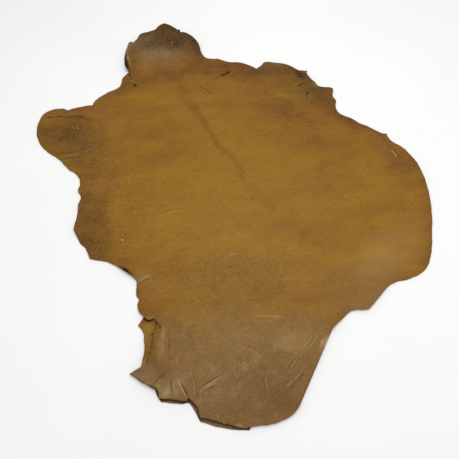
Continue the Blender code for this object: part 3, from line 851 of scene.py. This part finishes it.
def shaded(points, placed, hide_edge, shank):
    """How dark the gap at an upper layer's cut edge makes each side of the sheet: grain, then flesh."""
    past, tucked = past_fold(points)
    flat = placed[:, :2]
    apart = nearest(flat, hide_edge)
    covered = inside(flat, hide_edge)
    apart = np.where(covered, np.maximum(apart - SHADE_UNDER, 0), apart)
    flesh_side = np.exp(-((apart / SHADE_REACH) ** 2)) * (tucked & (past > SHADE_PAST))
    lower = ~inside(points, above_tear()) & ~tucked
    lips = nearest(flat, rounded(TEAR_UPPER, MM))
    grain_side = np.exp(-((lips / TEAR_SHADE_REACH) ** 2)) * lower
    rim = (nearest(points, hide_edge) < MERGE) & inside(points, shank) & ~tucked
    return np.maximum(grain_side, RIM_SHADE * rim), flesh_side


def nearest(points, line):
    """Each point's distance to the nearest point of a line whose points lie close together."""
    tree = kdtree.KDTree(len(line))
    for i, (x, y) in enumerate(line):
        tree.insert((x, y, 0), i)
    tree.balance()
    return np.array([tree.find((x, y, 0))[2] for x, y in points])


def graded(outline, rows):
    """Points for the open sheet, close together near the cut edge and the creases."""
    cuts = outline + [point for row in rows for point in row]
    folds = [point for crease in CREASES for point in crease_line(crease)]
    bend = rows[0] + rows[-1][::-1]
    found = []
    for spacing in SPACINGS:
        points = lattice(outline, spacing.step * MM)
        away = np.minimum(nearest(points, cuts) / MM + EDGE_HEAD, nearest(points, folds) / MM)
        points = points[(away >= spacing.near) & (away < spacing.far)]
        clear = CLEAR_SHARE * spacing.step * MM
        free = (nearest(points, outline) > clear) & (nearest(points, rows[0] + rows[-1]) > clear)
        points = points[free]
        points = points[inside(points, outline) & ~inside(points, bend)]
        found.append(points[np.hypot(*(points - place(HOLE)).T) > HOLE_RADIUS + clear])
    return np.concatenate(found)


def sheet_mesh(outline, rows):
    """The flat pattern divided into triangles, with the hole left out, as points and faces."""
    turn = 2 * math.pi / HOLE_SIDES
    ring = [
        place(HOLE) + HOLE_RADIUS * Vector((math.cos(turn * i), math.sin(turn * i)))
        for i in range(HOLE_SIDES)
    ]
    inner = [point for row in rows for point in row[1:-1]] + ring
    inner += [Vector(point) for point in graded(outline, rows)]
    border = [list(range(len(outline)))]
    verts, _, faces, *_ = geometry.delaunay_2d_cdt(outline + inner, [], border, 1, MERGE)
    verts = np.array(verts)
    middles = verts[np.array(faces)].mean(axis=1)
    whole = np.hypot(*(middles - place(HOLE)).T) > HOLE_RADIUS * math.cos(turn / 2)
    return verts, np.array(faces)[whole]


def relief(points, edge):
    """How far the fine unevenness lifts or sinks each point of the upper layer."""
    ripple = RIPPLE * noise_at(points, RIPPLE_PITCH, RIPPLE_SEED)
    buckle = BUCKLE * noise_at(points, BUCKLE_PITCH, BUCKLE_SEED) + ripple
    curl = np.maximum(noise_at(points, CURL_PITCH, CURL_SEED), 0)
    curl = CURL * curl * np.exp(-((edge / CURL_REACH) ** 2))
    height = np.maximum(buckle, 0) + curl + crease_marks(points)[0]
    return height * calm(points)


def laid_finely(points, shank, edge):
    """The pattern as the solid lies, with the fine unevenness added to its upper layer."""
    base = laid(points, shank)
    upper = ~past_fold(points)[1]
    near = fall(from_shank(points, shank), LAYER_LEAST_MARGIN, LAYER_LEAST_RAMP)
    least = THICKNESS / 2 + LAYER_LEAST * near
    height = base[:, 2] + relief(points, edge) * (1 - by_fold(points))
    base[:, 2] = np.where(upper, np.maximum(height, np.minimum(least, base[:, 2])), base[:, 2])
    return base


def srgb(red, green, blue):
    """A colour given as it looks on a screen, 0 to 255, as the shader wants it."""
    shares = [value / 255 for value in (red, green, blue)]
    return (*(s / 12.92 if s <= 0.04045 else ((s + 0.055) / 1.055) ** 2.4 for s in shares), 1.0)


class Paint:
    """Builds one procedural material on its Principled BSDF."""

    def __init__(self, name):
        self.material = bpy.data.materials.new(name)
        self.material.use_nodes = True
        self.tree = self.material.node_tree
        self.shader = self.tree.nodes["Principled BSDF"]
        self.place = self.tree.nodes.new("ShaderNodeTexCoord").outputs["Object"]
        self.colour = None

    def feed(self, targets, values):
        """Links each input of a node to another's output, or sets it to a plain value."""
        for target, value in zip(targets, values):
            if isinstance(value, bpy.types.NodeSocket):
                self.tree.links.new(value, target)
            else:
                target.default_value = value

    def node(self, kind, **inputs):
        """A new shader node with its inputs set or linked, by name."""
        made = self.tree.nodes.new(kind)
        made.name = made.label = kind[len("ShaderNode"):]
        self.feed([made.inputs[key] for key in inputs], inputs.values())
        return made

    def drawn_out(self, heading, stretch):
        """Coordinates in which a pattern is this many times longer along a heading in degrees."""
        made = self.node("ShaderNodeMapping", Vector=self.place)
        made.vector_type = "TEXTURE"
        made.inputs["Rotation"].default_value = (0, 0, math.radians(heading))
        made.inputs["Scale"].default_value = (stretch, 1, 1)
        return made.outputs["Vector"]

    def cloud(self, scale, detail=3.0, rough=0.5, where=None, distort=0.0):
        """Noise from about 0.25 to 0.75 at this many cells a metre."""
        made = self.node("ShaderNodeTexNoise", Vector=where or self.place, Scale=scale)
        made.inputs["Detail"].default_value = detail
        made.inputs["Roughness"].default_value = rough
        made.inputs["Distortion"].default_value = distort
        return made.outputs["Fac"]

    def remap(self, value, low, high, to_low=0.0, to_high=1.0):
        made = self.node("ShaderNodeMapRange", Value=value)
        made.interpolation_type = "SMOOTHSTEP"
        for key, number in zip(("From Min", "From Max", "To Min", "To Max"), (low, high, to_low, to_high)):
            made.inputs[key].default_value = number
        return made.outputs["Result"]

    def maths(self, operation, first, second, clamp=False):
        made = self.tree.nodes.new("ShaderNodeMath")
        made.operation = operation
        made.use_clamp = clamp
        self.feed(made.inputs, (first, second))
        return made.outputs["Value"]

    def times(self, first, second, clamp=False):
        return self.maths("MULTIPLY", first, second, clamp)

    def share(self, name):
        """A share that each point of the mesh carries."""
        made = self.tree.nodes.new("ShaderNodeAttribute")
        made.attribute_name = name
        return made.outputs["Fac"]

    def mix(self, share, first, second):
        made = self.tree.nodes.new("ShaderNodeMix")
        made.data_type = "RGBA"
        self.feed((made.inputs[0], made.inputs[6], made.inputs[7]), (share, first, second))
        return made.outputs[2]

    def layer(self, share, tone):
        """Lays a tone over the colour so far, by this share."""
        self.colour = self.mix(share, self.colour, tone)

    def bump(self, height, distance, under=None):
        made = self.node("ShaderNodeBump", Height=height, Distance=distance, Strength=1.0)
        if under:
            self.tree.links.new(under, made.inputs["Normal"])
        return made.outputs["Normal"]

    def finish(self, roughness, normal):
        for key, value in (("Base Color", self.colour), ("Roughness", roughness), ("Normal", normal)):
            self.tree.links.new(value, self.shader.inputs[key])
        return self.material


GRAIN_SPECULAR = 0.17
GOLD = srgb(152, 108, 19)
TAN = srgb(136, 91, 20)
BROWN = srgb(108, 65, 16)
RUSSET = srgb(126, 76, 30)
DUSK = srgb(62, 36, 14)
OLIVE = srgb(111, 83, 27)
# The painted sheen and shade: a greyer, darker tan.
SHEEN_GREY = srgb(125, 92, 47)
PIT = srgb(78, 54, 22)
KNOB = srgb(166, 133, 74)
# The pale of the crease lines: painted highlight on ridges, rims and the fold, and a few real pale scars.
PALE_LINE_AND_HIGHLIGHT = srgb(188, 156, 100)
PALE = srgb(186, 146, 76)
# The painted highlight: a pale lavender tan.
HIGHLIGHT_TONE = srgb(172, 144, 106)
# The dark of the painted shade in creases, slits, gaps and under lifted edges, and of a few real dark
# scars and marks.
SHADE_AND_MARK_DARK = srgb(34, 13, 4)
FLESH = srgb(136, 104, 66)
FLESH_DARK = srgb(98, 70, 42)
EDGE = srgb(112, 76, 42)


def grain():
    """The dyed grain side: golden in the open, browner at the margins, with a waxy sheen, and painted
    sheen, highlight and shade in places.
    """
    paint = Paint("leather_grain")
    cloudy = paint.cloud(16.0, 4.0, 0.55, where=paint.drawn_out(12, 2.5))
    mottle = paint.cloud(30.0, 5.0, 0.6, distort=0.5)
    speck = paint.cloud(290.0, 2.0, 0.8)
    spots = paint.cloud(36.0, 5.0, 0.65, distort=1.0)
    streak = paint.cloud(110.0, 4.0, 0.6, where=paint.drawn_out(13, 6.0))
    fleck = paint.cloud(260.0, 3.0, 0.6, where=paint.drawn_out(16, 6.0))
    hair = paint.cloud(210.0, 3.0, 0.6, where=paint.drawn_out(80, 12.0))
    streaked = paint.remap(streak, 0.3, 0.7, 0.7, 1.1)
    uneven = paint.times(streaked, paint.remap(mottle, 0.3, 0.7, 0.8, 1.15))
    paint.colour = paint.mix(paint.remap(cloudy, 0.35, 0.62, 0.0, 0.8), TAN, GOLD)
    # Painted sheen and shade: the greyer tone over the folded shank, the neck's front slope and the right
    # foreleg, mottled.
    sheen_grey_share = paint.times(paint.share("sheen_grey"), paint.remap(mottle, 0.3, 0.6, 0.8, 1.05), clamp=True)
    paint.layer(sheen_grey_share, SHEEN_GREY)
    paint.layer(paint.share("golden"), GOLD)
    # Brown includes the painted shade of the valley behind the neck.
    tinted = ("russet", RUSSET), ("brown", BROWN), ("olive", OLIVE), ("margin", BROWN)
    for tint, tone in tinted:
        paint.layer(paint.times(paint.share(tint), uneven, clamp=True), tone)
    # Dusk: darker dye at the margins, and painted shade on the neck's far side and in crumples.
    faded = paint.times(paint.share("dusk"), paint.remap(mottle, 0.3, 0.7, 0.75, 1.1), clamp=True)
    paint.layer(faded, DUSK)
    bare = paint.maths("SUBTRACT", 1.0, sheen_grey_share)
    lined = paint.times(paint.remap(streak, 0.5, 0.75, 0.0, 0.2), bare)
    paint.layer(lined, BROWN)
    paint.layer(paint.remap(mottle, 0.5, 0.72, 0.0, 0.22), BROWN)
    paint.layer(paint.remap(fleck, 0.55, 0.72, 0.0, 0.1), PALE)
    coarse = paint.remap(paint.share("coarse"), 0.0, 1.0, 0.35, 0.75)
    pit = paint.times(paint.remap(speck, 0.45, 0.72, 0.0, 0.75), coarse)
    paint.layer(pit, PIT)
    knob = paint.times(paint.remap(speck, 0.28, 0.5, 0.5, 0.0), coarse)
    paint.layer(knob, KNOB)
    # Olive and pale spots within the painted sheen.
    spotted = paint.times(sheen_grey_share, paint.remap(spots, 0.5, 0.62, 0.0, 0.6))
    paint.layer(spotted, OLIVE)
    pale_spots = paint.times(sheen_grey_share, paint.remap(spots, 0.3, 0.45, 0.3, 0.0))
    paint.layer(pale_spots, PALE)
    paint.layer(paint.share("pale"), PALE)
    # Painted highlights on the neck's front, the fold's rim, the left hind's tip and the flap.
    paint.layer(paint.times(paint.share("painted_highlight"), uneven, clamp=True), HIGHLIGHT_TONE)
    # Hair-like streaks on the neck: the light ones in the painted highlight's tone, the dark ones a darker
    # tone.
    combed = paint.times(paint.share("hair"), paint.remap(hair, 0.45, 0.7, 0.0, 0.18))
    paint.layer(combed, HIGHLIGHT_TONE)
    parted = paint.times(paint.share("hair"), paint.remap(hair, 0.3, 0.5, 0.35, 0.0))
    paint.layer(parted, DUSK)
    # Pale crease lines: painted highlight, and a few real pale scars.
    paint.layer(paint.share("pale_line_and_highlight"), PALE_LINE_AND_HIGHLIGHT)
    # Mostly painted shade in creases and gaps and on the rim over the shank, with a few real dark marks.
    paint.layer(paint.share("dark"), SHADE_AND_MARK_DARK)
    cells = paint.node("ShaderNodeTexVoronoi", Vector=paint.place, Scale=380.0)
    cells.feature = "SMOOTH_F1"
    normal = paint.bump(cells.outputs["Distance"], 0.25 * MM)
    normal = paint.bump(paint.cloud(110.0, 4.0, 0.65), 0.6 * MM, under=normal)
    rough = paint.remap(paint.cloud(60.0, 4.0, 0.6), 0.3, 0.7, 0.40, 0.52)
    rough = paint.maths("ADD", rough, paint.times(paint.share("dusk"), 0.4))
    rough = paint.maths("MAXIMUM", rough, paint.share("dark"))
    paint.shader.inputs["Specular IOR Level"].default_value = GRAIN_SPECULAR
    return paint.finish(rough, normal)


def flesh():
    """The flesh side: paler, matt and fibrous."""
    paint = Paint("leather_flesh")
    nap = paint.cloud(160.0, 5.0, 0.7, distort=1.2)
    paint.colour = paint.mix(paint.remap(nap, 0.35, 0.65), FLESH_DARK, FLESH)
    paint.layer(paint.remap(paint.cloud(12.0, 3.0), 0.4, 0.7, 0.0, 0.4), FLESH_DARK)
    # Painted shadow of the gap under the hide's edge.
    paint.layer(paint.share("gap"), SHADE_AND_MARK_DARK)
    normal = paint.bump(nap, 0.8 * MM)
    return paint.finish(paint.remap(nap, 0.3, 0.7, 0.86, 0.96), normal)


def cut():
    """The cut edge, where the fibres show."""
    paint = Paint("leather_edge")
    fibre = paint.cloud(500.0, 4.0, 0.7)
    paint.colour = paint.mix(paint.remap(fibre, 0.35, 0.65), BROWN, EDGE)
    # Painted shade on the cut edge: the crease lines, the rim over the shank and the gap under the hide's
    # edge.
    paint.layer(paint.share("dark"), SHADE_AND_MARK_DARK)
    paint.layer(paint.share("gap"), SHADE_AND_MARK_DARK)
    return paint.finish(paint.remap(fibre, 0.3, 0.7, 0.75, 0.9), paint.bump(fibre, 0.3 * MM))


def added(name, data):
    """A new object, put into the scene."""
    made = bpy.data.objects.new(name, data)
    bpy.context.scene.collection.objects.link(made)
    return made


def dressed_hide():
    """The whole hide as one mesh: its laid middle surface, thickened, with a material for each side."""
    shank = rounded(SHANK_UNDER, EDGE_STEP)
    rows = bend_rows()
    hide_edge = frayed(rounded(CUT_EDGE, EDGE_STEP))
    down = [row[0] for row in rows[1:-1]]
    back = [row[-1] for row in reversed(rows[1:-1])]
    outline = hide_edge + down + unfolded(frayed(shank)) + back
    points, faces = sheet_mesh(outline, rows)
    edge = nearest(points, outline)
    _, dark, pale = crease_marks(points)
    placed = laid_finely(points, shank, edge)
    grain_side, flesh_side = shaded(points, placed, hide_edge, shank)
    mesh = bpy.data.meshes.new("hide_middle")
    mesh.from_pydata(placed.tolist(), [], faces.tolist())
    wobble = [noise_at(points, WOBBLE_PITCH, seed) for seed in WOBBLE_SEEDS]
    stained = points + WOBBLE * np.column_stack(wobble)
    shares = {tint: tint_of(stained, tint) for tint in TINTS}
    greyed = SHEEN_GREY_SHARE * fall(from_shank(points, shank), 0, SHEEN_GREY_RAMP)
    greyed *= fall(points[:, 1], SHEEN_GREY_FOOT, SHEEN_GREY_FADE)
    shares["sheen_grey"] = np.maximum(shares["sheen_grey"], greyed)
    shares["coarse"] = np.maximum(shares["coarse"], SHEEN_GREY_COARSE * greyed)
    shares["margin"] = MARGIN_SHARE * np.exp(-edge / MARGIN_REACH) * (1 - MARGIN_SHEEN_GREYED * shares["sheen_grey"])
    # Painted shade: the creases' dark lines, the rim over the shank and the shadow of the tear's gap on
    # the grain side, and the painted shadow of the gap under the hide's edge on the flesh side.
    shares["dark"] = np.maximum(dark, grain_side)
    shares["gap"] = flesh_side
    shares["pale_line_and_highlight"] = pale
    for name, values in shares.items():
        made = mesh.attributes.new(name, "FLOAT", "POINT")
        made.data.foreach_set("value", values.astype(np.float32))
    for material in (grain(), flesh(), cut()):
        mesh.materials.append(material)
    draft = added("hide_middle", mesh)
    thick = draft.modifiers.new("thickness", "SOLIDIFY")
    thick.thickness = THICKNESS
    thick.offset = 0.0
    thick.material_offset = 1
    thick.material_offset_rim = 2
    evaluated = draft.evaluated_get(bpy.context.evaluated_depsgraph_get())
    done = bpy.data.meshes.new_from_object(evaluated)
    done.name = "leather_hide"
    bpy.data.objects.remove(draft)
    done.shade_smooth()
    done.set_sharp_from_angle(angle=math.radians(SHARP_ANGLE))
    return added("leather_hide", done)


def floor():
    """A plain pale floor under the hide."""
    mesh = bpy.data.meshes.new("floor")
    reach = FLOOR_REACH
    corners = [(-reach, -reach, 0), (reach, -reach, 0), (reach, reach, 0), (-reach, reach, 0)]
    mesh.from_pydata(corners, [], [(0, 1, 2, 3)])
    paint = Paint("studio_floor")
    tone = paint.remap(paint.cloud(2.0), 0.3, 0.7)
    paint.colour = paint.mix(tone, *FLOOR_TONES)
    rough = paint.remap(paint.cloud(5.0), 0.3, 0.7, 0.85, 0.95)
    mesh.materials.append(paint.finish(rough, paint.bump(tone, 0.01 * MM)))
    made = added("floor", mesh)
    made.location = (0, 0, -FLOOR_DROP)
    return made


def aim(thing, stand, target):
    """Puts a camera or light at one point, looking at another."""
    thing.location = stand
    thing.rotation_euler = (Vector(target) - thing.location).to_track_quat("-Z", "Y").to_euler()


def studio():
    """One wide soft light from above, and an even white sky."""
    light = bpy.data.lights.new("overhead", "AREA")
    light.shape = "RECTANGLE"
    light.size, light.size_y = OVERHEAD_SIZE
    light.energy = OVERHEAD_POWER
    aim(added("overhead", light), OVERHEAD_PLACE, OVERHEAD_TARGET)
    world = bpy.data.worlds.new("studio")
    world.use_nodes = True
    sky = world.node_tree.nodes["Background"]
    sky.inputs["Color"].default_value = (1, 1, 1, 1)
    sky.inputs["Strength"].default_value = SKY_STRENGTH
    bpy.context.scene.world = world
    bpy.context.scene.view_settings.view_transform = "Standard"


def camera():
    data = bpy.data.cameras.new("camera")
    data.sensor_fit = "HORIZONTAL"
    data.angle = math.radians(CAMERA_VIEW)
    made = added("camera", data)
    aim(made, CAMERA_PLACE, CAMERA_TARGET)
    bpy.context.scene.camera = made


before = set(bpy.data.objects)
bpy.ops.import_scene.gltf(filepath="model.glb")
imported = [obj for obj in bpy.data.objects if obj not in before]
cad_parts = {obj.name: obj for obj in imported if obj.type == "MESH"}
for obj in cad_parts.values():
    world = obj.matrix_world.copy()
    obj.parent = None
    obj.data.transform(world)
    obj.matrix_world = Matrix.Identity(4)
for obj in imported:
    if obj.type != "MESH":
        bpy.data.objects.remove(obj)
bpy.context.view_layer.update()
hide = dressed_hide()
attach(hide, "root")
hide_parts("hide")
floor()
studio()
camera()
